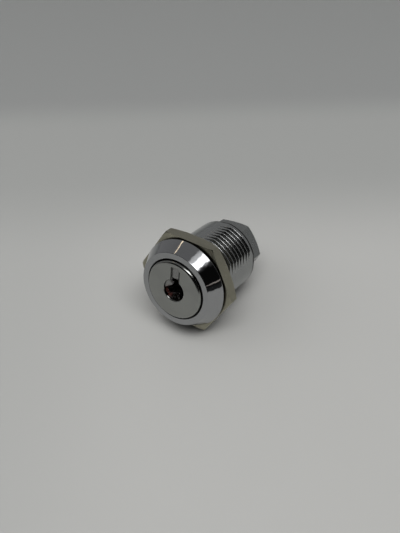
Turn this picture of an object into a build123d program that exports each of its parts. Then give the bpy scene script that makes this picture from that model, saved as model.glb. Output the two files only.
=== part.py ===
from build123d import *
import math
import os

# Cam lock for a vending machine. Millimetres, +Z up.
# The lock's axis is Y: its face looks towards -Y and its tail points to +Y.
# The origin is on the axis, at the bezel's back face, which lies on the panel.
# Turns are degrees clockwise from +Z, as seen from the front.

# Bezel and threaded shank, one die casting
THREAD_DIAMETER = 19.05
THREAD_PITCH = 1.27
THREAD_ANGLE = 60.0
THREAD_ROOT_FLAT = 0.16
THREAD_RUNOUT = 0.76
THREAD_TURN = 37.0
THREAD_LENGTH = 15.4
WAIST_DEPTH = 0.775
LOBE_SPREAD = 90.0
COLLAR_DEPTH = 0.525
COLLAR_LENGTH = 2.0
COLLAR_CHAMFER = 0.35
BEZEL_INSIDE_NUT = 0.1
BEZEL_CONE = 1.85
BEZEL_DEPTH = 3.6
BEZEL_RIM = 0.25
BEZEL_EDGE = 0.12

# Plug: barrel, head and tail
BARREL_DIAMETER = 12.4
HEAD_LEDGE = 0.25
FACE_GAP = 0.3
FACE_PROUD = 0.6
FACE_ROUND = 0.62
CAP_FRONT = 0.6
CAP_WALL = 0.8
HEAD_SEAT = 0.3
RUNNING_GAP = 0.05
END_PLAY = 0.1
TAIL_DIAMETER = 8.0
TAIL_FLATS = 6.4
TAIL_BEYOND_NUT = 0.7
TAIL_CHAMFER = 0.6

# Key hole and three-winged keyway
KEY_HOLE_DIAMETER = 5.4
KEY_SLOT_WIDTH = 2.1
KEY_SLOT_TOP = 5.8
KEY_SLOT_CORNER = 0.26
KEYWAY_WINGS = 3
WING_WIDTH = 1.9
WING_REACH = 2.95
KEYWAY_STEM = 2.7
PILOT_DIAMETER = 2.4
PILOT_LENGTH = 0.9

# Hardened guard disc behind the face, and its pins
GUARD_INSET = 0.45
GUARD_THICKNESS = 1.2
GUARD_DISH_DEPTH = 0.9
GUARD_DISH_LEDGE = 0.05
GUARD_SEAT_GAP = 0.03
PIN_DIAMETER = 1.2
PIN_LENGTH = 3.3
PIN_INSET = 1.8

# Weather seal behind the plug's head
SEAL_SECTION = 0.8
SEAL_PLACE = 0.35
SEAL_ROOM = 0.1

# Wafer tumblers: they slide out of the barrel into grooves in the shank's bore
WAFER_ROWS = 3
WAFERS_IN_ROW = 3
WAFER_THICKNESS = 1.0
WAFER_PITCH = 1.5
FIRST_WAFER = 1.9
WAFER_HALF_WIDTH = 3.7
WAFER_KEY_END = 4.6
WAFER_SHOULDER = 3.9
WAFER_TIP_WIDTH = 2.2
WAFER_TRAVEL = 0.7
WAFER_WINDOW = 6.1
WAFER_LIFT_EDGE = 2.4
WAFER_SHY = 0.08
WAFER_GAP = 0.04
GROOVE_GAP = 0.1
GROOVE_DEPTH = 0.95

# Coil spring beside each wafer, and the wafer's tab on it
SPRING_DIAMETER = 1.04
SPRING_WIRE = 0.28
SPRING_TURNS = 3
SPRING_GAP = 0.02
TAB_REACH = 1.3
TAB_LOW = 0.6
TAB_HIGH = 1.3
POCKET_FLOOR = 2.25
POCKET_GAP = 0.12

# Stops, in a recess at the shank's end
PLUG_TURN = 90.0
STOP_RECESS_BEYOND_BORE = 1.15
STOP_RECESS_DEPTH = 1.5
STOP_LUG_HEIGHT = 0.8
STOP_LUG_REACH = 0.95
STOP_TEETH = 2
TOOTH_SPREAD = 40.0
TOOTH_GAP = 0.2
STOP_DISC_GAP = 0.35
STOP_THICKNESS = 0.8
STOP_GAP_DEGREES = 0.6

# Retaining ring on the tail
RING_GROOVE_DIAMETER = 6.9
RING_DIAMETER = 10.8
RING_THICKNESS = 0.5
RING_OPENING = 60.0
RING_GAP = 0.05

# Toothed lock washer and M8 nut on the tail
WASHER_BEYOND_NUT = 0.3
WASHER_THICKNESS = 0.5
WASHER_GAP = 0.1
WASHER_NOTCHES = 12
NOTCH_WIDTH = 0.8
NOTCH_DEPTH = 0.9
CAM_NUT_BEYOND_BARREL = 0.3
CAM_NUT_HEIGHT = 5.2
CAM_NUT_TURN = 56.0
CAM_NUT_CORNER = -0.2
NUT_CHAMFER_ANGLE = 30.0
NUT_BORE_CHAMFER = 0.35

# Thin hex nut that clamps the lock to the panel
MOUNTING_NUT_WALL = 1.475
MOUNTING_NUT_THICKNESS = 3.0
MOUNTING_NUT_TURN = 0.5
MOUNTING_NUT_GAP = 0.35
MOUNTING_NUT_FRONT_CORNER = 1.15
MOUNTING_NUT_BACK_CORNER = 0.25
THREAD_CLEARANCE = 0.075

# How far a cut runs past the surface that it opens, and when two sizes count as the same
OVERCUT = 0.3
SAME = 0.001

# Radii and places worked out from the sizes above
thread_radius = THREAD_DIAMETER / 2
waist_radius = thread_radius - WAIST_DEPTH
collar_radius = thread_radius - COLLAR_DEPTH
mounting_nut_reach = thread_radius + MOUNTING_NUT_WALL
bezel_radius = mounting_nut_reach - BEZEL_INSIDE_NUT
bezel_front_radius = bezel_radius - BEZEL_CONE
barrel_radius = BARREL_DIAMETER / 2
bore_radius = barrel_radius + RUNNING_GAP
flange_radius = barrel_radius + HEAD_LEDGE
guard_radius = flange_radius - GUARD_INSET
face_radius = flange_radius + CAP_WALL
pin_circle_radius = barrel_radius - PIN_INSET
tail_radius = TAIL_DIAMETER / 2
cam_nut_reach = barrel_radius + CAM_NUT_BEYOND_BARREL
washer_radius = cam_nut_reach + WASHER_BEYOND_NUT
shank_end = THREAD_LENGTH + COLLAR_LENGTH
recess_floor = shank_end - STOP_RECESS_DEPTH
barrel_end = recess_floor + END_PLAY / 2
head_shoulder = -HEAD_SEAT
flange_back = head_shoulder - END_PLAY
cap_face = -BEZEL_DEPTH - FACE_PROUD
guard_front = cap_face + CAP_FRONT
guard_back = guard_front + GUARD_THICKNESS
last_wafer = FIRST_WAFER + WAFER_PITCH * (WAFER_ROWS * WAFERS_IN_ROW - 1)
keyway_end = last_wafer + WAFER_PITCH / 2
groove_start = FIRST_WAFER - WAFER_PITCH / 2
tip_radius = barrel_radius - WAFER_SHY
wing_step = 360 / KEYWAY_WINGS
recess_radius = bore_radius + STOP_RECESS_BEYOND_BORE
lug_inner = recess_radius - STOP_LUG_REACH
tooth_reach = recess_radius - TOOTH_GAP
stop_back = barrel_end + STOP_THICKNESS
ring_front = stop_back + RING_GAP
washer_front = shank_end + WASHER_GAP
cam_nut_front = washer_front + WASHER_THICKNESS
cam_nut_back = cam_nut_front + CAM_NUT_HEIGHT
tail_end = cam_nut_back + TAIL_BEYOND_NUT
spring_side = WAFER_HALF_WIDTH + POCKET_GAP + SPRING_DIAMETER / 2


def across(place):
    """Plane square to the lock's axis: its x is up, and its angles are turns."""
    return Plane(origin=(0, place, 0), x_dir=(0, 0, 1), z_dir=(0, 1, 0))


def raised(sketch, front, back):
    """A drawn section, extruded along the axis from front to back."""
    return extrude(across(front) * sketch, amount=back - front)


def disc(radius, front, back):
    return raised(Circle(radius), front, back)


def turned(*points):
    """A profile of (radius, place) points, turned about the axis."""
    return revolve(make_face(Plane.XY * Polyline(*points, close=True)), Axis.Y)


def rims(part, radius, place):
    """The circular edges of one radius at one place along the axis."""
    circles = part.edges().filter_by(GeomType.CIRCLE)
    there = [edge for edge in circles if abs(edge.arc_center.Y - place) < SAME]
    return [edge for edge in there if abs(edge.radius - radius) < SAME]


def polar(radius, turn):
    return radius * math.cos(math.radians(turn)), radius * math.sin(math.radians(turn))


def sector(outer, inner, start, spread):
    """A ring sector that begins at one turn and covers a spread of degrees."""
    reach = 2 * outer / math.cos(math.radians(spread / 4))
    fan = [(0, 0)] + [polar(reach, start + spread * share / 4) for share in range(5)]
    return (Circle(outer) - Circle(inner)) & make_face(Polyline(*fan, close=True))


def hex_nut(reach, front, back, turn, bore, front_corner, back_corner):
    """A hex nut with its flats at a reach and its bore chamfered; beyond a corner reach each face slopes."""
    hexagon = RegularPolygon(reach, 6, major_radius=False, rotation=30)
    corner = reach / math.cos(math.radians(30)) + OVERCUT
    slope = math.tan(math.radians(NUT_CHAMFER_ANGLE))
    front_flat = reach + front_corner
    back_flat = reach + back_corner
    cone = turned(
        (0, front),
        (front_flat, front),
        (corner, front + (corner - front_flat) * slope),
        (corner, back - (corner - back_flat) * slope),
        (back_flat, back),
        (0, back),
    )
    nut = (raised(Rot(0, 0, turn) * hexagon, front, back) & cone) - disc(bore, front, back)
    return chamfer(rims(nut, bore, front) + rims(nut, bore, back), NUT_BORE_CHAMFER)


def arc(radius, start, end):
    return ThreePointArc(polar(radius, start), polar(radius, (start + end) / 2), polar(radius, end))


def lobed_section(crest_radius, waist):
    """Round waist with two opposite lobes, whose flat flanks leave the waist smoothly."""
    crest = LOBE_SPREAD / 2 - math.degrees(math.acos(waist / crest_radius))
    outline = []
    for lobe in (THREAD_TURN, THREAD_TURN + 180):
        flank = lobe + LOBE_SPREAD / 2
        next_flank = lobe + 180 - LOBE_SPREAD / 2
        outline.append(arc(crest_radius, lobe - crest, lobe + crest))
        outline.append(Line(polar(crest_radius, lobe + crest), polar(waist, flank)))
        outline.append(arc(waist, flank, next_flank))
        outline.append(Line(polar(waist, next_flank), polar(crest_radius, lobe + 180 - crest)))
    return make_face(outline)


def thread_groove(place, turn):
    """One groove of the right-hand thread across one lobe, leaning by the thread's lead."""
    top = thread_radius + OVERCUT
    root = THREAD_ROOT_FLAT / 2
    mouth = root + (top - waist_radius) * math.tan(math.radians(THREAD_ANGLE / 2))
    section = Polyline((waist_radius, -root), (top, -mouth), (top, mouth), (waist_radius, root), close=True)
    lead = math.degrees(math.atan(THREAD_PITCH / (math.pi * THREAD_DIAMETER)))
    span = 1.2 * LOBE_SPREAD
    ring = revolve(make_face(Plane.XY * section), Axis.Y, revolution_arc=span)
    return Pos(0, place, 0) * Rot(0, turn - 90, 0) * Rot(lead, 0, 0) * Rot(0, -span / 2, 0) * ring


def thread_grooves():
    """The grooves of both lobes, half a pitch apart where the helix goes round."""
    grooves = []
    for side in (0, 1):
        place = THREAD_LENGTH - THREAD_RUNOUT - THREAD_PITCH * side / 2
        while place > THREAD_PITCH / 2:
            grooves.append(thread_groove(place, THREAD_TURN + 180 * side))
            place -= THREAD_PITCH
    return grooves


def collar():
    """The shank's plain end, lower over the lobes and tapered at the end."""
    taper = shank_end - COLLAR_CHAMFER
    whole = lobed_section(collar_radius, waist_radius)
    small = lobed_section(collar_radius - COLLAR_CHAMFER, waist_radius - COLLAR_CHAMFER)
    plain = raised(whole, THREAD_LENGTH, taper)
    return plain + loft([across(taper) * whole, across(shank_end) * small], ruled=True)


def along(start, end, width, side=None):
    """A bar along a section's own x, centred on it, or on one side of it from a stated distance."""
    if side is None:
        return Pos((start + end) / 2, 0) * Rectangle(end - start, width)
    return Pos((start + end) / 2, side + width / 2) * Rectangle(end - start, width)


def wafer_turns(index):
    """Turn of the key wing that lifts a wafer, and the opposite turn, to which its tip slides."""
    wing = wing_step * (index % KEYWAY_WINGS)
    return wing, wing + 180


def lock_groove(turn):
    """A groove along the shank's bore for the wafer tips of one row."""
    width = WAFER_TIP_WIDTH + 2 * GROOVE_GAP
    return raised(Rot(0, 0, turn) * along(0, bore_radius + GROOVE_DEPTH, width), groove_start, recess_floor)


def stop_lug(start):
    """A lug in the rear recess, between the end of one tooth's travel and the next tooth."""
    free = TOOTH_SPREAD / 2 + STOP_GAP_DEGREES
    spread = 360 / STOP_TEETH - PLUG_TURN - 2 * free
    shape = sector(recess_radius + OVERCUT, lug_inner, start + PLUG_TURN + free, spread)
    return raised(shape, recess_floor - OVERCUT, recess_floor + STOP_LUG_HEIGHT)


def make_body():
    """Bezel and shank: bored for the plug, threaded outside and recessed at the rear."""
    bezel = turned(
        (0, -BEZEL_DEPTH),
        (bezel_front_radius, -BEZEL_DEPTH),
        (bezel_radius, -BEZEL_RIM),
        (bezel_radius, 0),
        (0, 0),
    )
    body = bezel + raised(lobed_section(thread_radius, waist_radius), -BEZEL_RIM, THREAD_LENGTH)
    body += collar()
    body -= disc(face_radius + FACE_GAP, -BEZEL_DEPTH, head_shoulder)
    body -= disc(bore_radius, head_shoulder, recess_floor)
    body -= disc(recess_radius, recess_floor, shank_end)
    for index in range(KEYWAY_WINGS):
        tip_turn = wafer_turns(index)[1]
        body -= lock_groove(tip_turn)
        body -= lock_groove(tip_turn + PLUG_TURN)
    for tooth in range(STOP_TEETH):
        body += stop_lug(tooth * 360 / STOP_TEETH)
    body -= thread_grooves()
    inner = rims(body, face_radius + FACE_GAP, -BEZEL_DEPTH)
    outer = rims(body, bezel_front_radius, -BEZEL_DEPTH)
    return fillet(inner + outer, BEZEL_EDGE)


def keyway_section():
    """Round stem with one wing for each row of wafers."""
    section = Circle(KEYWAY_STEM / 2)
    for index in range(KEYWAY_WINGS):
        section += Rot(0, 0, wing_step * index) * along(0, WING_REACH, WING_WIDTH)
    return section


def wafer_slot(index):
    """Slot for one wafer, open where the wafer is put in, with the tip's way out and the spring's pocket."""
    tip = wafer_turns(index)[1]
    place = FIRST_WAFER + WAFER_PITCH * index
    beyond = barrel_radius + OVERCUT
    half = WAFER_THICKNESS / 2 + WAFER_GAP
    shoulder = WAFER_SHOULDER + WAFER_TRAVEL + WAFER_GAP
    plate = along(-beyond, shoulder, 2 * (WAFER_HALF_WIDTH + WAFER_GAP))
    way_out = along(0, beyond, WAFER_TIP_WIDTH + 2 * WAFER_GAP)
    slot = raised(Rot(0, 0, tip) * (plate + way_out), place - half, place + half)
    pocket_depth = WAFER_HALF_WIDTH + TAB_REACH + POCKET_GAP
    pocket = along(-POCKET_FLOOR, TAB_HIGH + WAFER_TRAVEL + WAFER_GAP, pocket_depth, 0)
    pocket_half = SPRING_DIAMETER / 2 + POCKET_GAP
    return [slot, raised(Rot(0, 0, tip) * pocket, place - pocket_half, place + pocket_half)]


def make_plug_core():
    """Barrel, head flange and tail of the plug, with keyway, wafer slots, seal groove and pin holes."""
    core = disc(flange_radius, guard_front, flange_back) + disc(barrel_radius, flange_back, barrel_end)
    tail = Circle(tail_radius) & Rectangle(4 * tail_radius, TAIL_FLATS)
    core += raised(tail, barrel_end, tail_end) & tail_envelope()
    core -= disc(guard_radius + GUARD_SEAT_GAP, guard_front, guard_back)
    core -= raised(keyway_section(), guard_back, keyway_end)
    core -= disc(PILOT_DIAMETER / 2, keyway_end, keyway_end + PILOT_LENGTH)
    core -= seal_groove()
    core -= pin_group(PIN_DIAMETER / 2 + GUARD_SEAT_GAP)
    for index in range(WAFER_ROWS * WAFERS_IN_ROW):
        core -= wafer_slot(index)
    ring_back = ring_front + RING_THICKNESS + RING_GAP
    ring_groove = disc(tail_radius + OVERCUT, stop_back, ring_back)
    return core - (ring_groove - disc(RING_GROOVE_DIAMETER / 2, stop_back, ring_back))


def tail_envelope():
    """The tail's outside before its flats: a rod with a chamfered end."""
    return turned(
        (0, barrel_end),
        (tail_radius, barrel_end),
        (tail_radius, tail_end - TAIL_CHAMFER),
        (tail_radius - TAIL_CHAMFER, tail_end),
        (0, tail_end),
    )


def seal_groove():
    half = (SEAL_SECTION + SEAL_ROOM) / 2
    front = SEAL_PLACE - half
    back = SEAL_PLACE + half
    return disc(bore_radius, front, back) - disc(barrel_radius - SEAL_SECTION, front, back)


def pin_group(radius):
    """Pins on both sides of the keyway, set into the plug behind the guard disc."""
    return [
        Pos(side * pin_circle_radius, 0, 0) * disc(radius, guard_back, guard_back + PIN_LENGTH)
        for side in (-1, 1)
    ]


def make_plug_cap():
    """The plug's face: a cup with a rounded front edge, pierced by the key hole and its slot."""
    cap = disc(face_radius, cap_face, flange_back - END_PLAY)
    cap = fillet(rims(cap, face_radius, cap_face), FACE_ROUND)
    cap -= disc(flange_radius, guard_front, flange_back)
    cap -= disc(KEY_HOLE_DIAMETER / 2, cap_face, guard_front)
    slot = Pos(KEY_SLOT_TOP / 2, 0) * RectangleRounded(KEY_SLOT_TOP, KEY_SLOT_WIDTH, KEY_SLOT_CORNER)
    return cap - raised(slot, cap_face, guard_front)


def make_keyway_guard():
    """Hardened disc: a shallow dish leads the key into the three-winged hole."""
    guard = disc(guard_radius, guard_front, guard_back)
    guard -= turned(
        (0, guard_front),
        (KEY_HOLE_DIAMETER / 2 - GUARD_DISH_LEDGE, guard_front),
        (KEYWAY_STEM / 2, guard_front + GUARD_DISH_DEPTH),
        (0, guard_front + GUARD_DISH_DEPTH),
    )
    return guard - raised(keyway_section(), guard_front, guard_back)


def make_wafer(index):
    """Plate with a narrow tip, a window for the key and a tab for its spring."""
    tip = wafer_turns(index)[1]
    place = FIRST_WAFER + WAFER_PITCH * index
    plate = along(-WAFER_KEY_END, WAFER_SHOULDER, 2 * WAFER_HALF_WIDTH)
    point = along(0, barrel_radius, WAFER_TIP_WIDTH)
    tab = along(TAB_LOW, TAB_HIGH, WAFER_HALF_WIDTH + TAB_REACH, 0)
    window = Circle(WAFER_WINDOW / 2) & along(-WAFER_LIFT_EDGE, WAFER_WINDOW, WAFER_WINDOW)
    shape = ((plate + point + tab) & Circle(tip_radius)) - window
    half = WAFER_THICKNESS / 2
    return raised(Rot(0, 0, tip) * shape, place - half, place + half)


def coil_path(radius, length, turns):
    """Middle of a coil's wire, along +Z from the origin: half turns, each one a tilted arc."""
    rise = length / turns / 4
    arcs = []
    for half_turn in range(2 * turns):
        side = 1 if half_turn % 2 == 0 else -1
        low = 2 * rise * half_turn
        start = (side * radius, 0, low)
        middle = (0, side * radius, low + rise)
        finish = (-side * radius, 0, low + 2 * rise)
        arcs.append(ThreePointArc(start, middle, finish))
    return Wire(arcs)


def least_gap(path, wire, turns):
    """Smallest gap from a coil's wire to its own next turn, measured on points."""
    steps = 24
    points = [path @ (index / steps / turns) for index in range(steps * turns + 1)]
    pairs = [
        (points[first], points[second])
        for first in range(len(points))
        for second in range(first + steps * 2 // 3, len(points))
    ]
    return min((one - other).length for one, other in pairs) - wire


def make_wafer_spring(index):
    """Coil spring between the pocket's floor and the wafer's tab."""
    place = FIRST_WAFER + WAFER_PITCH * index
    end_gap = SPRING_WIRE / 2 + SPRING_GAP
    length = POCKET_FLOOR + TAB_LOW - 2 * end_gap
    path = coil_path((SPRING_DIAMETER - SPRING_WIRE) / 2, length, SPRING_TURNS)
    if index == 0:
        print("least gap between a spring's turns", round(least_gap(path, SPRING_WIRE, SPRING_TURNS), 2))
    spring = sweep(Plane(origin=path @ 0, z_dir=path % 0) * Circle(SPRING_WIRE / 2), path=path)
    tip = Rot(0, 0, wafer_turns(index)[1])
    return across(place) * (tip * Pos(end_gap - POCKET_FLOOR, spring_side, 0) * Rot(0, 90, 0) * spring)


def make_seal_ring():
    """O-ring that fills its groove and stays just clear of the bore."""
    section_radius = SEAL_SECTION / 2
    centre = barrel_radius - section_radius
    return revolve(Plane.XY * Pos(centre, SEAL_PLACE) * Circle(section_radius), Axis.Y)


def make_stop_washer():
    """Washer keyed on the tail's flats, with teeth that meet the lugs at both ends of the turn."""
    shape = Circle(lug_inner - STOP_DISC_GAP)
    for tooth in range(STOP_TEETH):
        start = tooth * 360 / STOP_TEETH - TOOTH_SPREAD / 2
        shape += sector(tooth_reach, tail_radius, start, TOOTH_SPREAD)
    shape -= Circle(tail_radius) & Rectangle(4 * tail_radius, TAIL_FLATS)
    return raised(shape, barrel_end, stop_back)


def make_retaining_ring():
    """Open ring snapped into the tail's groove behind the stop washer."""
    shape = sector(RING_DIAMETER / 2, RING_GROOVE_DIAMETER / 2, RING_OPENING / 2, 360 - RING_OPENING)
    return raised(shape, ring_front, ring_front + RING_THICKNESS)


def make_lock_washer():
    """Washer with small teeth round its edge."""
    shape = Circle(washer_radius) - Circle(tail_radius)
    notch = Pos(washer_radius, 0) * Rectangle(2 * NOTCH_DEPTH, NOTCH_WIDTH)
    for index in range(WASHER_NOTCHES):
        shape -= Rot(0, 0, 360 / WASHER_NOTCHES * index) * notch
    return raised(shape, washer_front, cam_nut_front)


def make_mounting_nut():
    front = MOUNTING_NUT_GAP
    back = front + MOUNTING_NUT_THICKNESS
    bore = thread_radius + THREAD_CLEARANCE
    corners = (MOUNTING_NUT_FRONT_CORNER, MOUNTING_NUT_BACK_CORNER)
    return hex_nut(mounting_nut_reach, front, back, MOUNTING_NUT_TURN, bore, *corners)


def make_cam_nut():
    corners = (CAM_NUT_CORNER, CAM_NUT_CORNER)
    return hex_nut(cam_nut_reach, cam_nut_front, cam_nut_back, CAM_NUT_TURN, tail_radius, *corners)


def write(name, part):
    """Write one node, with a list of solids as one group."""
    shape = Compound(children=part) if isinstance(part, list) else part
    export_step(shape, os.path.join("parts", name + ".step"))


def main():
    os.makedirs("parts", exist_ok=True)
    write("body", make_body())
    write("plug_core", make_plug_core())
    write("plug_cap", make_plug_cap())
    write("keyway_guard", make_keyway_guard())
    write("guard_pins", pin_group(PIN_DIAMETER / 2))
    write("seal_ring", make_seal_ring())
    write("stop_washer", make_stop_washer())
    write("retaining_ring", make_retaining_ring())
    write("lock_washer", make_lock_washer())
    write("cam_nut", make_cam_nut())
    write("mounting_nut", make_mounting_nut())
    for index in range(WAFER_ROWS * WAFERS_IN_ROW):
        write(f"wafer_{index + 1}", make_wafer(index))
        write(f"wafer_spring_{index + 1}", make_wafer_spring(index))


main()
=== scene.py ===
import logging
import math
from dataclasses import dataclass, field
from enum import Enum
from typing import Any

import bpy
from mathutils import Matrix, Vector


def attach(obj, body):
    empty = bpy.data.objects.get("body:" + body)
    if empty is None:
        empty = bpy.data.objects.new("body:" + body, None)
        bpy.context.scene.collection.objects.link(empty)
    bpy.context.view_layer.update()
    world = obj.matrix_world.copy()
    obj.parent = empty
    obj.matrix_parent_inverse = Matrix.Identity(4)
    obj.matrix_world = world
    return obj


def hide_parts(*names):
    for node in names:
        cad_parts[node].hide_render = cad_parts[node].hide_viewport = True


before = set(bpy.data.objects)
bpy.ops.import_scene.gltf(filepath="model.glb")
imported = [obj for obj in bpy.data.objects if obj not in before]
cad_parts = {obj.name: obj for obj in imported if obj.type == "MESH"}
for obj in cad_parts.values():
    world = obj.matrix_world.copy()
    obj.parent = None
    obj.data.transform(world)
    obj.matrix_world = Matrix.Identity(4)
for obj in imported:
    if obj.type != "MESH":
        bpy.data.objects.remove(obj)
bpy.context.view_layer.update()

LOG = logging.getLogger("lock")
MM = 0.001
Colour = tuple[float, float, float]
Point = tuple[float, float, float]
Span = tuple[float, float]
Socket = bpy.types.NodeSocket


class Grain(Enum):
    """How the surface of a metal was last worked."""

    CAST = "cast"
    TURNED = "turned"
    ROLLED = "rolled"
    POLISHED = "polished"


class NodeDesk:
    """Short calls for laying out the node tree of a material or a node group."""

    def __init__(self, tree: bpy.types.NodeTree) -> None:
        """Keeps the tree that the nodes go into.

        Args:
            tree: the node tree to fill.
        """
        self.tree = tree

    def add(self, kind: str, inputs: dict[Any, Any] | None = None, **settings: Any) -> bpy.types.Node:
        """Adds a node and fills its inputs.

        Args:
            kind: the node's type name without its ShaderNode prefix, or the whole type name.
            inputs: by socket name or number, a value or the socket that feeds it.
            settings: the node's own settings.

        Returns:
            The new node.
        """
        full = kind if kind.startswith("NodeGroup") else f"ShaderNode{kind}"
        node = self.tree.nodes.new(full)
        for name, value in settings.items():
            setattr(node, name, value)
        for name, value in (inputs or {}).items():
            self.feed(node.inputs[name], value)
        return node

    def feed(self, socket: Socket, value: Any) -> None:
        """Links a socket to what feeds it, or sets its value.

        Args:
            socket: the input socket.
            value: a socket, a number or a vector.
        """
        if isinstance(value, Socket):
            self.tree.links.new(value, socket)
        else:
            socket.default_value = value

    def sum(self, operation: str, a: Any, b: Any = 0.0, clamp: bool = False) -> Socket:
        """Adds a Math node.

        Args:
            operation: the name of the sum.
            a: the first value or socket.
            b: the second value or socket.
            clamp: keeps the result between 0 and 1.

        Returns:
            The socket with the result.
        """
        return self.add("Math", {0: a, 1: b}, operation=operation, use_clamp=clamp).outputs[0]

    def span(self, value: Any, low: Any, high: Any, to_low: Any = 0.0, to_high: Any = 1.0) -> Socket:
        """Maps a range of values smoothly onto another.

        Args:
            value: the socket to map.
            low: where the range starts.
            high: where it ends.
            to_low: what its start becomes.
            to_high: what its end becomes.

        Returns:
            The socket with the mapped value.
        """
        inputs = {"Value": value, "From Min": low, "From Max": high, "To Min": to_low, "To Max": to_high}
        return self.add("MapRange", inputs, interpolation_type="SMOOTHSTEP").outputs[0]

    def place(self) -> Socket:
        """The socket with where a point is on its object, in metres."""
        return self.add("TexCoord").outputs["Object"]

    def dot(self, a: Any, b: Any) -> Socket:
        """The socket with the dot product of two vectors or sockets."""
        return self.add("VectorMath", {0: a, 1: b}, operation="DOT_PRODUCT").outputs["Value"]

    def radius(self, part: Any) -> Socket:
        """The socket with a point's distance from the lock's axis, from the sockets of its coordinates."""
        return self.sum("SQRT", self.sum("ADD", self.sum("POWER", part[0], 2), self.sum("POWER", part[2], 2)))

    def noise(
        self, place: Any, scale: Any, detail: float, roughness: float = 0.5, distortion: float = 0.0,
    ) -> Socket:
        """Adds a noise.

        Args:
            place: the socket with a point's place.
            scale: how many features it has in a metre.
            detail: how many finer layers it has.
            roughness: how strong the finer layers are.
            distortion: how far it is bent.

        Returns:
            The socket with the noise, round 0.5.
        """
        inputs = {"Vector": place, "Scale": scale, "Detail": detail, "Roughness": roughness}
        return self.add("TexNoise", inputs | {"Distortion": distortion}).outputs["Fac"]

    def ragged(self, noise: Any, depth: float) -> Socket:
        """The socket with what a noise adds to a measure to make an edge ragged, both ways from zero."""
        return self.sum("MULTIPLY", self.sum("SUBTRACT", noise, 0.5), depth)

    def off(self, value: Any, middle: float) -> Socket:
        """The socket with how far a value is from a middle one."""
        return self.sum("ABSOLUTE", self.sum("SUBTRACT", value, middle))

    def within(self, off: Any, start: Any, end: Any) -> Socket:
        """The socket with 1 up to the start of a range and 0 past its end."""
        return self.span(off, start, end, 1.0, 0.0)

    def blend(self, share: Any, a: Any, b: Any) -> Socket:
        """Mixes two colours.

        Args:
            share: how much of the second colour shows.
            a: the first colour or socket.
            b: the second colour or socket.

        Returns:
            The socket with the mixed colour.
        """
        node = self.add("Mix", data_type="RGBA")
        for name, value in ((0, share), (6, a), (7, b)):
            self.feed(node.inputs[name], (*value, 1.0) if isinstance(value, tuple) else value)
        return node.outputs[2]

    def group(self, tree: bpy.types.NodeTree, inputs: dict[str, Any]) -> bpy.types.Node:
        """Places a node group.

        Args:
            tree: the group's own tree.
            inputs: by name, what its inputs are given.

        Returns:
            The group's node.
        """
        node = self.add("Group")
        node.node_tree = tree
        for name, value in inputs.items():
            self.feed(node.inputs[name], value)
        return node


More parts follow.
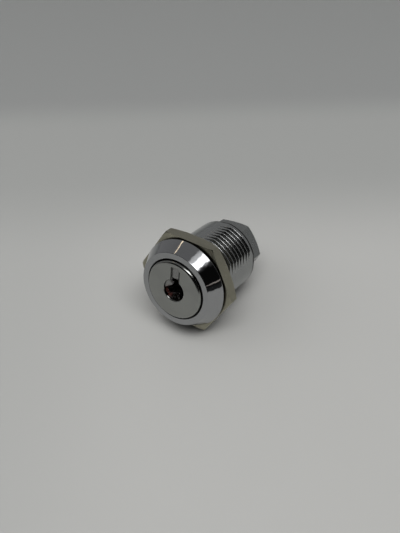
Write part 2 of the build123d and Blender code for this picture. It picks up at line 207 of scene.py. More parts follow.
class Effects:
    """The node groups that several finishes share, each built once.

    The drift is how far a turned mark's pattern moves in a radian. The noises are in features for a metre.
    """

    TURN_DRIFT = 0.04 * MM
    ROLLED_STRETCH = (1.0, 1.0, 0.12)
    CAST_DETAIL = 5.0
    PLAIN_DETAIL = 3.0
    WEAR_AND_GLINT_NOISE = 1400.0
    GRIME_AND_SHADE_NOISE = 900.0
    RUB_TURN = (0.4, 0.2, 0.7)
    RUB_STRETCH = (1.0, 9.0, 3.0)

    def __init__(self) -> None:
        """Builds every group."""
        self.grain = {style: self._grain(style) for style in Grain}
        self.wear_and_glint = self._wear_and_glint()
        self.haze = self._haze()
        self.grime_and_shade = self._grime_and_shade()

    @staticmethod
    def _new(name: str, inputs: dict[str, float], outputs: tuple[str, ...]) -> tuple[NodeDesk, Any, Any]:
        """Starts a group with number sockets.

        Args:
            name: the group's name.
            inputs: its inputs and what they are when nothing is given.
            outputs: its outputs.

        Returns:
            The desk for its tree, its input node and its output node.
        """
        tree = bpy.data.node_groups.new(name, "ShaderNodeTree")
        for label, value in inputs.items():
            socket = tree.interface.new_socket(label, in_out="INPUT", socket_type="NodeSocketFloat")
            socket.default_value = value
        for label in outputs:
            tree.interface.new_socket(label, in_out="OUTPUT", socket_type="NodeSocketFloat")
        desk = NodeDesk(tree)
        return desk, desk.add("NodeGroupInput"), desk.add("NodeGroupOutput")

    def _grain(self, style: Grain) -> bpy.types.NodeTree:
        """Fine marks of one way of working: pits, turned rings or rolled streaks.

        Args:
            style: how the surface was worked.

        Returns:
            The group, with a Size in metres, a height and a shade from 0 to 1.
        """
        desk, given, made = self._new(f"grain_{style.value}", {"Size": 0.0001}, ("Height", "Shade"))
        place = desk.place()
        if style is Grain.TURNED:
            part = desk.add("SeparateXYZ", {0: place}).outputs
            turn = desk.sum("MULTIPLY", desk.sum("ARCTAN2", part[2], part[0]), self.TURN_DRIFT)
            place = desk.add("CombineXYZ", {0: desk.radius(part), 1: part[1], 2: turn}).outputs[0]
        if style is Grain.ROLLED:
            place = desk.add("Mapping", {"Vector": place, "Scale": self.ROLLED_STRETCH}).outputs[0]
        fineness = desk.sum("DIVIDE", 1.0, given.outputs["Size"])
        detail = self.CAST_DETAIL if style is Grain.CAST else self.PLAIN_DETAIL
        noise = height = desk.noise(place, fineness, detail, roughness=0.62)
        if style is Grain.CAST:
            pits = desk.add("TexVoronoi", {"Vector": place, "Scale": desk.sum("MULTIPLY", fineness, 0.45)})
            dent = desk.span(pits.outputs["Distance"], 0.0, 0.28, 0.0, 1.0)
            height = desk.sum("ADD", desk.sum("MULTIPLY", height, 0.7), desk.sum("MULTIPLY", dent, 0.3))
        desk.feed(made.inputs["Height"], height)
        desk.feed(made.inputs["Shade"], desk.span(noise, 0.3, 0.7))
        return desk.tree

    def _wear_and_glint(self) -> bpy.types.NodeTree:
        """Where handling rubs a piece bright, with a painted glint: a lighter colour along its edges, broken
        up by noise.

        Returns:
            The group, with a Width in metres and a mask.
        """
        desk, given, made = self._new("edge_wear_and_glint", {"Width": 0.0001, "Amount": 1.0}, ("Mask",))
        rounded = desk.add("Bevel", {"Radius": given.outputs["Width"]}, samples=6).outputs[0]
        plain = desk.add("NewGeometry").outputs["Normal"]
        edge = desk.span(desk.sum("SUBTRACT", 1.0, desk.dot(rounded, plain)), 0.004, 0.12)
        broken = desk.span(desk.noise(desk.place(), self.WEAR_AND_GLINT_NOISE, 4.0), 0.32, 0.62, 0.25, 1.0)
        mask = desk.sum("MULTIPLY", desk.sum("MULTIPLY", edge, broken), given.outputs["Amount"], clamp=True)
        desk.feed(made.inputs["Mask"], mask)
        return desk.tree

    def _haze(self) -> bpy.types.NodeTree:
        """The faint film and wiping marks on handled metal, which change its gloss.

        Returns:
            The group, with a Size in metres and a mask.
        """
        desk, given, made = self._new("handling_haze", {"Size": 0.004}, ("Mask",))
        place = desk.place()
        scale = desk.sum("DIVIDE", 1.0, given.outputs["Size"])
        cloud = desk.noise(place, scale, 4.0, distortion=0.6)
        streaks = desk.add("Mapping", {"Vector": place, "Rotation": self.RUB_TURN, "Scale": self.RUB_STRETCH})
        rub = desk.noise(streaks.outputs[0], scale, 2.0)
        mixed = desk.sum("ADD", desk.sum("MULTIPLY", cloud, 0.65), desk.sum("MULTIPLY", rub, 0.35))
        desk.feed(made.inputs["Mask"], desk.span(mixed, 0.36, 0.66))
        return desk.tree

    def _grime_and_shade(self) -> bpy.types.NodeTree:
        """Dust and old oil that stay in corners and grooves, with painted shade there: a darker colour where
        little light reaches.

        Returns:
            The group, with a Reach in metres and a mask.
        """
        desk, given, made = self._new("corner_grime_and_shade", {"Reach": 0.0006}, ("Mask",))
        free = desk.add("AmbientOcclusion", {"Distance": given.outputs["Reach"]}, samples=6).outputs["AO"]
        patchy = desk.span(desk.noise(desk.place(), self.GRIME_AND_SHADE_NOISE, 4.0), 0.25, 0.6, 0.55, 1.0)
        desk.feed(made.inputs["Mask"], desk.sum("MULTIPLY", desk.span(free, 0.85, 0.25), patchy))
        return desk.tree


@dataclass(frozen=True)
class Surface:
    """The changing parts of a finish, as sockets; how metallic it is may be a plain number."""

    colour: Socket
    roughness: Socket
    height: Socket
    metallic: Any = 1.0


@dataclass(frozen=True)
class MetalFinish:
    """A plated or bare metal, with its grain, edges worn bright with a painted glint, haze, and dust, old oil
    and painted shade in its corners and grooves.
    """

    name: str
    colour: Colour
    shade: Colour
    edge: Colour
    roughness: float
    grain: Grain
    grain_size: float
    grain_depth: float
    haze: float = 0.05
    wear_and_glint: float = 0.6
    edge_width: float = 0.00012
    grime_and_shade: float = 0.3
    grime_and_shade_reach: float = 0.0007
    wave: float = 0.0
    wave_size: float = 0.002
    rounding: float = 0.00005
    grain_shade: float = 0.7
    grain_roughness: float = 0.25
    haze_size: float = 0.004
    haze_shade: float = 0.6
    grime_and_shade_colour: Colour = (0.03, 0.027, 0.024)
    grime_roughness: float = 0.4

    def surface(self, desk: NodeDesk, effects: Effects) -> Surface:
        """Lays out the changing parts.

        Args:
            desk: where the nodes go.
            effects: the shared groups.

        Returns:
            The sockets of colour, roughness and height.
        """
        grain = desk.group(effects.grain[self.grain], {"Size": self.grain_size})
        wear_and_glint = desk.group(effects.wear_and_glint, {"Width": self.edge_width, "Amount": self.wear_and_glint}).outputs["Mask"]
        haze = desk.group(effects.haze, {"Size": self.haze_size}).outputs["Mask"]
        grime_and_shade = desk.group(effects.grime_and_shade, {"Reach": self.grime_and_shade_reach}).outputs["Mask"]
        grime_and_shade = desk.sum("MULTIPLY", grime_and_shade, self.grime_and_shade)
        shade = grain.outputs["Shade"]
        colour = desk.blend(desk.sum("MULTIPLY", shade, self.grain_shade), self.colour, self.shade)
        colour = desk.blend(desk.sum("MULTIPLY", haze, self.haze_shade), colour, self.shade)
        # Edges worn bright, and a painted glint: a lighter colour along the edges makes their highlights
        # brighter.
        colour = desk.blend(wear_and_glint, colour, self.edge)
        # Painted shade, with dust and old oil: the colour darkens in corners and grooves that ambient
        # occlusion finds.
        colour = desk.blend(grime_and_shade, colour, self.grime_and_shade_colour)
        rough = desk.sum("ADD", self.roughness, desk.sum("MULTIPLY", haze, self.haze))
        rough = desk.sum("ADD", rough, desk.sum("MULTIPLY", shade, self.grain_roughness * self.roughness))
        rough = desk.sum("ADD", rough, desk.sum("MULTIPLY", grime_and_shade, self.grime_roughness), clamp=True)
        height = desk.sum("MULTIPLY", grain.outputs["Height"], self.grain_depth)
        swell = desk.noise(desk.place(), 1.0 / self.wave_size, 1.0)
        height = desk.sum("ADD", height, desk.sum("MULTIPLY", swell, self.wave))
        return Surface(colour, rough, height)

    def material(self, effects: Effects) -> bpy.types.Material:
        """Makes the material.

        Args:
            effects: the shared groups.

        Returns:
            The finished material.
        """
        material, desk = new_material(self.name)
        finish_metal(desk, self.surface(desk, effects), self.rounding)
        return material


@dataclass(frozen=True)
class ZonedFinish:
    """Two metal finishes on one casting, with a line of painted shade where they part, on the rim by the gap
    to the panel nut, and one at the shank's end.

    The border and the end are places along the lock's axis, and the first line lies outside the rim's radius.
    The line at the end grows from its first reach to its second over the run's length, along its direction.
    """

    name: str
    front: MetalFinish
    rear: MetalFinish
    border: float
    softness: float
    gap_shade_reach: float
    end: float
    rim: float
    rim_softness: float = 0.1 * MM
    end_noise: float = 260.0
    end_ragged: float = 0.25 * MM
    end_reach: Span = (0.22 * MM, 0.42 * MM)
    end_run: Point = (0.94, 0.0, -0.34)
    end_run_length: float = 6.0 * MM
    painted_shade: Colour = (0.012, 0.011, 0.010)

    def material(self, effects: Effects) -> bpy.types.Material:
        """Makes the material.

        Args:
            effects: the shared groups.

        Returns:
            The finished material.
        """
        material, desk = new_material(self.name)
        front, rear = (f.surface(desk, effects) for f in (self.front, self.rear))
        place = desk.place()
        part = desk.add("SeparateXYZ", {0: place}).outputs
        along = part[1]
        share = desk.span(along, self.border - self.softness, self.border + self.softness)
        mixed = [desk.add("Mix", {0: share, 2: a, 3: b}).outputs[0]
                 for a, b in ((front.roughness, rear.roughness), (front.height, rear.height))]
        # Painted shade: dark lines on the bezel's rim by the gap to the panel nut, and round the shank's end
        # by the tail nut.
        near = desk.within(desk.off(along, self.border), 0.75 * self.gap_shade_reach, self.gap_shade_reach)
        outside = desk.span(desk.radius(part), self.rim - self.rim_softness, self.rim)
        shaded = desk.sum("MULTIPLY", near, outside)
        ragged = desk.ragged(desk.noise(place, self.end_noise, 2.0), self.end_ragged)
        reach = desk.span(desk.dot(place, self.end_run), 0.0, self.end_run_length, *self.end_reach)
        off = desk.off(desk.sum("ADD", along, ragged), self.end)
        shaded = desk.sum("MAXIMUM", shaded, desk.within(off, desk.sum("MULTIPLY", reach, 0.7), reach))
        colour = desk.blend(shaded, desk.blend(share, front.colour, rear.colour), self.painted_shade)
        finish_metal(desk, Surface(colour, *mixed), self.rear.rounding)
        return material


@dataclass(frozen=True)
class GreaseAndShadeFinish:
    """A metal finish under an old greasy film that has run down in a hole and dried, brown at one side; its
    dark colour is also painted shade towards the bottom of the hole.

    The greasy film and its painted shade begin at its start along the run's direction and are full further
    down; bare flecks show in them.
    """

    metal: MetalFinish
    grease_and_shade: Colour
    run: Point
    start: float
    full: float
    rust: Colour
    rust_side: Span
    patch_noise: float = 1700.0
    patch_depth: float = 1.3 * MM
    fleck_noise: float = 2600.0
    fleck_span: Span = (0.56, 0.64)
    fleck_share: float = 0.15
    grease_roughness: float = 0.25

    def material(self, effects: Effects) -> bpy.types.Material:
        """Makes the material.

        Args:
            effects: the shared groups.

        Returns:
            The finished material.
        """
        material, desk = new_material(self.metal.name)
        bare = self.metal.surface(desk, effects)
        place = desk.place()
        ragged = desk.ragged(desk.noise(place, self.patch_noise, 3.0), self.patch_depth)
        share = desk.span(desk.sum("ADD", desk.dot(place, self.run), ragged), self.start, self.full)
        flecks = desk.span(desk.noise(place, self.fleck_noise, 1.0), *self.fleck_span, 1.0, self.fleck_share)
        share = desk.sum("MULTIPLY", share, flecks)
        rough = desk.sum("ADD", bare.roughness, desk.sum("MULTIPLY", share, self.grease_roughness))
        across = desk.add("SeparateXYZ", {0: place}).outputs[0]
        browned = desk.within(across, *self.rust_side)
        # Painted shade with an old greasy film: darker towards the bottom of the hole, brown at one side.
        colour = desk.blend(share, bare.colour, desk.blend(browned, self.grease_and_shade, self.rust))
        stained = desk.sum("MULTIPLY", share, browned)
        surface = Surface(colour, rough, bare.height, desk.sum("SUBTRACT", 1.0, stained))
        finish_metal(desk, surface, self.metal.rounding)
        return material


@dataclass(frozen=True)
class SlotFinish:
    """A metal finish with painted shade along one straight edge of the key slot."""

    metal: MetalFinish
    across: Span
    along: Span
    softness: float = 0.04 * MM
    edge_noise: float = 1500.0
    edge_ragged: float = 0.06 * MM
    painted_shade: Colour = (0.014, 0.013, 0.012)

    def material(self, effects: Effects) -> bpy.types.Material:
        """Makes the material.

        Args:
            effects: the shared groups.

        Returns:
            The finished material.
        """
        material, desk = new_material(self.metal.name)
        clean = self.metal.surface(desk, effects)
        place = desk.place()
        ragged = desk.ragged(desk.noise(place, self.edge_noise, 2.0), self.edge_ragged)
        part = desk.add("SeparateXYZ", {0: place}).outputs
        share = 1.0
        for value, (low, high) in ((part[0], self.across), (part[2], self.along)):
            off = desk.off(desk.sum("ADD", value, ragged), (low + high) / 2)
            half = (high - low) / 2
            near = desk.within(off, half - self.softness, half + self.softness)
            share = desk.sum("MULTIPLY", near, share)
        # Painted shade: the colour goes dark along the slot's edge.
        surface = Surface(desk.blend(share, clean.colour, self.painted_shade), clean.roughness, clean.height)
        finish_metal(desk, surface, self.metal.rounding)
        return material


@dataclass(frozen=True)
class RubberFinish:
    """Moulded rubber with a fine dusty skin."""

    name: str
    colour: Colour
    dust: Colour
    roughness: float
    grain_size: float = 0.00012
    grain_depth: float = 0.00001
    grain_roughness: float = 0.2
    dust_size: float = 0.002
    dust_share: float = 0.5

    def material(self, effects: Effects) -> bpy.types.Material:
        """Makes the material.

        Args:
            effects: the shared groups.

        Returns:
            The finished material.
        """
        material, desk = new_material(self.name)
        grain = desk.group(effects.grain[Grain.CAST], {"Size": self.grain_size})
        haze = desk.group(effects.haze, {"Size": self.dust_size}).outputs["Mask"]
        colour = desk.blend(desk.sum("MULTIPLY", haze, self.dust_share), self.colour, self.dust)
        shade = desk.sum("MULTIPLY", grain.outputs["Shade"], self.grain_roughness)
        rough = desk.sum("ADD", self.roughness, shade)
        height = {"Height": grain.outputs["Height"], "Distance": self.grain_depth, "Strength": 0.6}
        bump = desk.add("Bump", height).outputs[0]
        shader = desk.add("BsdfPrincipled", {"Base Color": colour, "Roughness": rough, "Normal": bump})
        desk.add("OutputMaterial", {"Surface": shader.outputs[0]})
        return material


def new_material(name: str) -> tuple[bpy.types.Material, NodeDesk]:
    """Starts a material with an empty node tree.

    Args:
        name: its name.

    Returns:
        The material and the desk for its tree.
    """
    material = bpy.data.materials.new(name)
    material.use_nodes = True
    material.node_tree.nodes.clear()
    return material, NodeDesk(material.node_tree)


def finish_metal(desk: NodeDesk, surface: Surface, rounding: float) -> None:
    """Adds the metal shader and the output.

    Args:
        desk: where the nodes go.
        surface: the sockets that feed the shader.
        rounding: how far in from its edges the metal looks rounded, in metres.
    """
    rounded = desk.add("Bevel", {"Radius": rounding}, samples=8).outputs[0]
    bump = desk.add("Bump", {"Height": surface.height, "Distance": 1.0, "Strength": 1.0, "Normal": rounded})
    shader = desk.add("BsdfPrincipled", {
        "Base Color": surface.colour,
        "Metallic": surface.metallic,
        "Roughness": surface.roughness,
        "Normal": bump.outputs[0],
    })
    desk.add("OutputMaterial", {"Surface": shader.outputs[0]})


BEZEL_CHROME = MetalFinish(
    "bezel_chrome", colour=(0.372, 0.378, 0.386), shade=(0.342, 0.348, 0.356), edge=(0.50, 0.50, 0.51),
    roughness=0.035, grain=Grain.POLISHED, grain_size=0.0003, grain_depth=0.0000002, haze=0.04, wear_and_glint=0.3,
    grime_and_shade=0.8, wave=0.00004, wave_size=0.0016)
SHANK_PLATE = MetalFinish(
    "shank_plate", colour=(0.325, 0.335, 0.333), shade=(0.285, 0.295, 0.293), edge=(0.62, 0.62, 0.62),
    roughness=0.125, grain=Grain.CAST, grain_size=0.0001, grain_depth=0.0000006, haze=0.06, wear_and_glint=1.0,
    edge_width=0.0002, grime_and_shade=0.98, grime_and_shade_reach=0.0013, wave=0.000008, rounding=0.0002)
LOCK_CASTING = ZonedFinish(
    "lock_casting", front=BEZEL_CHROME, rear=SHANK_PLATE, border=-0.00005, softness=0.00006,
    gap_shade_reach=0.00018, end=0.01692, rim=0.0108)
FACE_STEEL = SlotFinish(
    MetalFinish(
        "face_satin_steel", colour=(0.33, 0.336, 0.322), shade=(0.268, 0.274, 0.262), edge=(0.45, 0.45, 0.45),
        roughness=0.13, grain=Grain.CAST, grain_size=0.00007, grain_depth=0.0000007, haze=0.06, wear_and_glint=0.3,
        grime_and_shade=0.8, wave=0.000004),
    across=(0.00098, 0.00146), along=(0.0021, 0.0054))
NUT_NICKEL = MetalFinish(
    "panel_nut_nickel", colour=(0.375, 0.362, 0.288), shade=(0.305, 0.294, 0.232), edge=(0.58, 0.56, 0.47),
    roughness=0.25, grain=Grain.ROLLED, grain_size=0.0002, grain_depth=0.0000014, haze=0.10, wear_and_glint=0.7,
    wave=0.00001, wave_size=0.003)
TAIL_ZINC = MetalFinish(
    "tail_nut_zinc", colour=(0.30, 0.31, 0.307), shade=(0.25, 0.26, 0.257), edge=(0.56, 0.56, 0.56),
    roughness=0.24, grain=Grain.ROLLED, grain_size=0.00016, grain_depth=0.0000014, haze=0.08, wear_and_glint=0.7)
WASHER_ZINC = MetalFinish(
    "lock_washer_zinc", colour=(0.40, 0.40, 0.40), shade=(0.34, 0.34, 0.345), edge=(0.6, 0.6, 0.6),
    roughness=0.3, grain=Grain.ROLLED, grain_size=0.00014, grain_depth=0.0000014, wear_and_glint=0.7)
STOP_STEEL = MetalFinish(
    "stop_washer_steel", colour=(0.5, 0.5, 0.5), shade=(0.42, 0.42, 0.42), edge=(0.68, 0.68, 0.68),
    roughness=0.28, grain=Grain.ROLLED, grain_size=0.00015, grain_depth=0.0000012)
RING_STEEL = MetalFinish(
    "retaining_ring_steel", colour=(0.22, 0.22, 0.23), shade=(0.16, 0.16, 0.17), edge=(0.5, 0.5, 0.5),
    roughness=0.32, grain=Grain.ROLLED, grain_size=0.00012, grain_depth=0.0000012)
GUARD_STEEL = GreaseAndShadeFinish(
    MetalFinish(
        "guard_hard_steel", colour=(0.31, 0.31, 0.305), shade=(0.24, 0.24, 0.235), edge=(0.80, 0.80, 0.79),
        roughness=0.20, grain=Grain.TURNED, grain_size=0.00012, grain_depth=0.0000014, wear_and_glint=1.0, grime_and_shade=0.4,
        rounding=0.00022),
    grease_and_shade=(0.011, 0.007, 0.006), run=(0.1, 0.0, -0.995), start=-0.0006, full=0.0001,
    rust=(0.050, 0.012, 0.009), rust_side=(-0.0014, -0.0005))
CORE_PLATE = MetalFinish(
    "plug_core_plate", colour=(0.54, 0.54, 0.54), shade=(0.50, 0.50, 0.50), edge=(0.7, 0.7, 0.7),
    roughness=0.22, grain=Grain.TURNED, grain_size=0.00007, grain_depth=0.0000005, grime_and_shade=0.5)
PIN_STEEL = MetalFinish(
    "guard_pin_steel", colour=(0.36, 0.36, 0.365), shade=(0.3, 0.3, 0.3), edge=(0.6, 0.6, 0.6),
    roughness=0.25, grain=Grain.TURNED, grain_size=0.00008, grain_depth=0.000001)
WAFER_BRASS = MetalFinish(
    "wafer_brass", colour=(0.72, 0.56, 0.28), shade=(0.62, 0.47, 0.22), edge=(0.84, 0.70, 0.42),
    roughness=0.28, grain=Grain.ROLLED, grain_size=0.0001, grain_depth=0.0000012, wear_and_glint=0.8)
SPRING_WIRE = MetalFinish(
    "wafer_spring_wire", colour=(0.6, 0.6, 0.61), shade=(0.5, 0.5, 0.51), edge=(0.75, 0.75, 0.75),
    roughness=0.2, grain=Grain.POLISHED, grain_size=0.00005, grain_depth=0.0000004)
SEAL_RUBBER = RubberFinish(
    "seal_rubber", colour=(0.02, 0.02, 0.02), dust=(0.06, 0.058, 0.055), roughness=0.5)


def dress(nodes: tuple[str, ...], material: bpy.types.Material) -> None:
    """Gives CAD nodes a material and reports each of them.

    Args:
        nodes: the nodes' names.
        material: what they are given.
    """
    for name in nodes:
        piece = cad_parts[name]
        piece.data.materials.clear()
        piece.data.materials.append(material)
        LOG.info("%s dressed in %s", name, material.name)


def pick_only(piece: bpy.types.Object) -> None:
    """Selects one object and makes it the active one.

    Args:
        piece: the object.
    """
    bpy.ops.object.select_all(action="DESELECT")
    piece.select_set(True)
    bpy.context.view_layer.objects.active = piece


def apply_modifier(piece: bpy.types.Object, kind: str, **settings: Any) -> None:
    """Adds a modifier and applies it at once.

    Args:
        piece: the object.
        kind: the modifier's type.
        settings: its settings.
    """
    pick_only(piece)
    modifier = piece.modifiers.new(kind.lower(), kind)
    for name, value in settings.items():
        setattr(modifier, name, value)
    bpy.ops.object.modifier_apply(modifier=modifier.name)


@dataclass(frozen=True)
class PieceFromNode:
    """A new piece that starts as a merged copy of a CAD node and then stands for it.

    Points closer than the weld become one, and faces that meet at less than the flat angle are joined. The
    shading is smooth across edges below the smooth angle. Both angles are in degrees.
    """

    node: str
    name: str
    body: str
    slot: str
    weld: float = 0.002 * MM
    flat_angle: float = 0.5
    smooth_angle: float = 32.0
    face_weight: int = 80

    def blank(self) -> bpy.types.Object:
        """Copies the node's mesh and joins its loose triangles into clean faces.

        Returns:
            The new object.
        """
        piece = bpy.data.objects.new(self.name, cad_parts[self.node].data.copy())
        bpy.context.scene.collection.objects.link(piece)
        pick_only(piece)
        bpy.ops.mesh.customdata_custom_splitnormals_clear()
        bpy.ops.object.mode_set(mode="EDIT")
        bpy.ops.mesh.select_all(action="SELECT")
        bpy.ops.mesh.remove_doubles(threshold=self.weld)
        bpy.ops.mesh.dissolve_limited(angle_limit=math.radians(self.flat_angle))
        bpy.ops.object.mode_set(mode="OBJECT")
        return piece

    def finish(self, piece: bpy.types.Object, material: bpy.types.Material) -> None:
        """Smooths, dresses and places the finished piece on its body.

        Args:
            piece: the finished mesh.
            material: what it is given.
        """
        pick_only(piece)
        bpy.ops.object.shade_smooth_by_angle(angle=math.radians(self.smooth_angle))
        apply_modifier(piece, "WEIGHTED_NORMAL", keep_sharp=True, weight=self.face_weight)
        piece.data.materials.clear()
        piece.data.materials.append(material)
        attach(piece, self.body)
        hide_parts(self.node)
        LOG.info("%s built on %s with %d faces", piece.name, self.body, len(piece.data.polygons))


# The height and the side of a circle of radius 1 with three corners, which every groove starts as.
TRIANGLE_HEIGHT = 1.5
TRIANGLE_SIDE = math.sqrt(3.0)


@dataclass(frozen=True)
class ThreadCut:
    """A helical V groove, cut into a bore or round a shaft along the lock's axis.

    Its mouth is at the foot radius and takes its share of the pitch, and its bottom is at the tip radius.
    """

    pitch: float
    foot: float
    tip: float
    start: float
    turns: int
    mouth: float = 0.94
    steps: int = 72

    def cut(self, piece: bpy.types.Object) -> None:
        """Sweeps a triangle along the helix and cuts it out of a piece.

        Args:
            piece: the object that is threaded.
        """
        bpy.ops.object.select_all(action="DESELECT")
        turn = -math.pi / 2 if self.tip > self.foot else math.pi / 2
        bpy.ops.mesh.primitive_circle_add(vertices=3, radius=1.0, rotation=(0.0, 0.0, turn))
        groove = bpy.context.object
        groove.name = f"{piece.name}_groove"
        bpy.ops.object.transform_apply(location=True, rotation=True, scale=True)
        bpy.ops.object.mode_set(mode="EDIT")
        bpy.ops.mesh.select_all(action="SELECT")
        depth = abs(self.tip - self.foot) / TRIANGLE_HEIGHT
        width = self.mouth * self.pitch / TRIANGLE_SIDE
        bpy.ops.transform.resize(value=(depth, width, 1.0), center_override=(0.0, 0.0, 0.0))
        middle = self.foot + (self.tip - self.foot) / 3
        bpy.ops.transform.translate(value=(middle, self.start, 0.0))
        bpy.ops.object.mode_set(mode="OBJECT")
        apply_modifier(
            groove, "SCREW", axis="Y", angle=2 * math.pi, screw_offset=self.pitch, iterations=self.turns,
            steps=self.steps, render_steps=self.steps, use_merge_vertices=False)
        bpy.ops.object.mode_set(mode="EDIT")
        bpy.ops.mesh.select_all(action="SELECT")
        bpy.ops.mesh.fill_holes(sides=3)
        bpy.ops.mesh.select_all(action="SELECT")
        bpy.ops.mesh.normals_make_consistent(inside=False)
        bpy.ops.object.mode_set(mode="OBJECT")
        apply_modifier(piece, "BOOLEAN", operation="DIFFERENCE", solver="EXACT", object=groove)
        bpy.data.objects.remove(groove)


@dataclass
class LockBody:
    """The bezel and threaded shank, one casting."""

    nodes: tuple[str, ...] = ("body",)

    def build(self, effects: Effects) -> None:
        """Dresses the casting.

        Args:
            effects: the shared groups.
        """
        dress(self.nodes, LOCK_CASTING.material(effects))


@dataclass
class KeyPlug:
    """What turns with the key: the capped plug with its guard, pins, seal, retainers and tail."""

    face: PieceFromNode = PieceFromNode("plug_cap", "key_face", "plug", "plug_cap")
    core: PieceFromNode = PieceFromNode("plug_core", "threaded_plug", "plug", "plug_core")
    face_reach: float = 6.3 * MM
    front_depth: float = 0.01 * MM
    sharp_angle: float = 60.0
    hole_rounding: float = 0.26 * MM
    hole_segments: int = 5
    tail_thread: ThreadCut = ThreadCut(
        pitch=1.25 * MM, foot=4.25 * MM, tip=3.42 * MM, start=18.6 * MM, turns=7)
    finishes: dict[str, Any] = field(default_factory=lambda: {
        "keyway_guard": GUARD_STEEL,
        "guard_pins": PIN_STEEL,
        "seal_ring": SEAL_RUBBER,
        "stop_washer": STOP_STEEL,
        "retaining_ring": RING_STEEL,
    })

    def build(self, effects: Effects) -> None:
        """Rounds the key hole, threads the tail and dresses every piece of the plug.

        Args:
            effects: the shared groups.
        """
        for node, finish in self.finishes.items():
            dress((node,), finish.material(effects))
        face = self.face.blank()
        self.round_key_hole(face)
        self.face.finish(face, FACE_STEEL.material(effects))
        core = self.core.blank()
        self.tail_thread.cut(core)
        self.core.finish(core, CORE_PLATE.material(effects))

    def round_key_hole(self, face: bpy.types.Object) -> None:
        """Rolls the stamped edge of the key hole and its slot inwards.

        Args:
            face: the plug's face.
        """
        front = min(v.co.y for v in face.data.vertices)
        pick_only(face)
        bpy.ops.object.mode_set(mode="EDIT")
        bpy.ops.mesh.select_mode(type="EDGE")
        bpy.ops.mesh.select_all(action="DESELECT")
        bpy.ops.mesh.edges_select_sharp(sharpness=math.radians(self.sharp_angle))
        bpy.ops.object.mode_set(mode="OBJECT")
        for edge in face.data.edges:
            ends = [face.data.vertices[i].co for i in edge.vertices]
            edge.select = edge.select and all(
                e.y < front + self.front_depth and math.hypot(e.x, e.z) < self.face_reach for e in ends)
        LOG.info("%d edges round the key hole are rolled", sum(e.select for e in face.data.edges))
        bpy.ops.object.mode_set(mode="EDIT")
        bpy.ops.mesh.bevel(
            offset=self.hole_rounding, segments=self.hole_segments, profile=0.5, affect="EDGES",
            clamp_overlap=True)
        bpy.ops.object.mode_set(mode="OBJECT")


@dataclass
class WaferPack:
    """The nine wafers and their springs."""

    count: int = 9

    def build(self, effects: Effects) -> None:
        """Dresses the wafers and springs.

        Args:
            effects: the shared groups.
        """
        numbers = range(1, self.count + 1)
        dress(tuple(f"wafer_{i}" for i in numbers), WAFER_BRASS.material(effects))
        dress(tuple(f"wafer_spring_{i}" for i in numbers), SPRING_WIRE.material(effects))


@dataclass
class PanelNut:
    """The thin hex nut that clamps the lock in its panel."""

    nut: PieceFromNode = PieceFromNode("mounting_nut", "panel_nut", "mounting_nut", "mounting_nut")
    thread: ThreadCut = ThreadCut(
        pitch=1.27 * MM, foot=9.3 * MM, tip=10.15 * MM, start=-1.6 * MM, turns=6)

    def build(self, effects: Effects) -> None:
        """Threads and dresses the nut.

        Args:
            effects: the shared groups.
        """
        nut = self.nut.blank()
        self.thread.cut(nut)
        self.nut.finish(nut, NUT_NICKEL.material(effects))


@dataclass
class TailEnd:
    """The lock washer and the nut that hold a cam on the tail."""

    nut: PieceFromNode = PieceFromNode("cam_nut", "tail_nut", "plug", "cam_nut")
    thread: ThreadCut = ThreadCut(
        pitch=1.25 * MM, foot=3.8 * MM, tip=4.55 * MM, start=16.8 * MM, turns=8)

    def build(self, effects: Effects) -> None:
        """Dresses the washer, and threads and dresses the nut.

        Args:
            effects: the shared groups.
        """
        dress(("lock_washer",), WASHER_ZINC.material(effects))
        nut = self.nut.blank()
        self.thread.cut(nut)
        self.nut.finish(nut, TAIL_ZINC.material(effects))


@dataclass(frozen=True)
class SoftBox:
    """A lamp, placed and sized in degrees by how it is seen from the lock on its table."""

    name: str
    azimuth: float
    height: float
    width: float
    depth: float
    glow: float
    distance: float = 0.8

    def hang(self, table: Matrix) -> None:
        """Hangs the lamp, turned to the lock and left out of what the metal mirrors.

        Args:
            table: where the table is.
        """
        lamp = bpy.data.objects.new(self.name, bpy.data.lights.new(self.name, "AREA"))
        bpy.context.scene.collection.objects.link(lamp)
        size = [2 * self.distance * math.tan(math.radians(angle / 2)) for angle in (self.width, self.depth)]
        lamp.data.shape = "RECTANGLE"
        lamp.data.size, lamp.data.size_y = size
        lamp.data.energy = self.glow * math.pi * size[0] * size[1]
        lamp.visible_glossy = False
        towards = table_direction(table, self.azimuth, self.height)
        level = table.to_3x3().col[2].cross(towards).normalized()
        turn = Matrix((level, towards.cross(level), towards)).transposed()
        lamp.matrix_world = Matrix.Translation(towards * self.distance) @ turn.to_4x4()


@dataclass(frozen=True)
class RoomRay:
    """Where a ray leaves for the room, as sockets: azimuth and height in degrees, and a noise there."""

    azimuth: Socket
    height: Socket
    noise: Socket


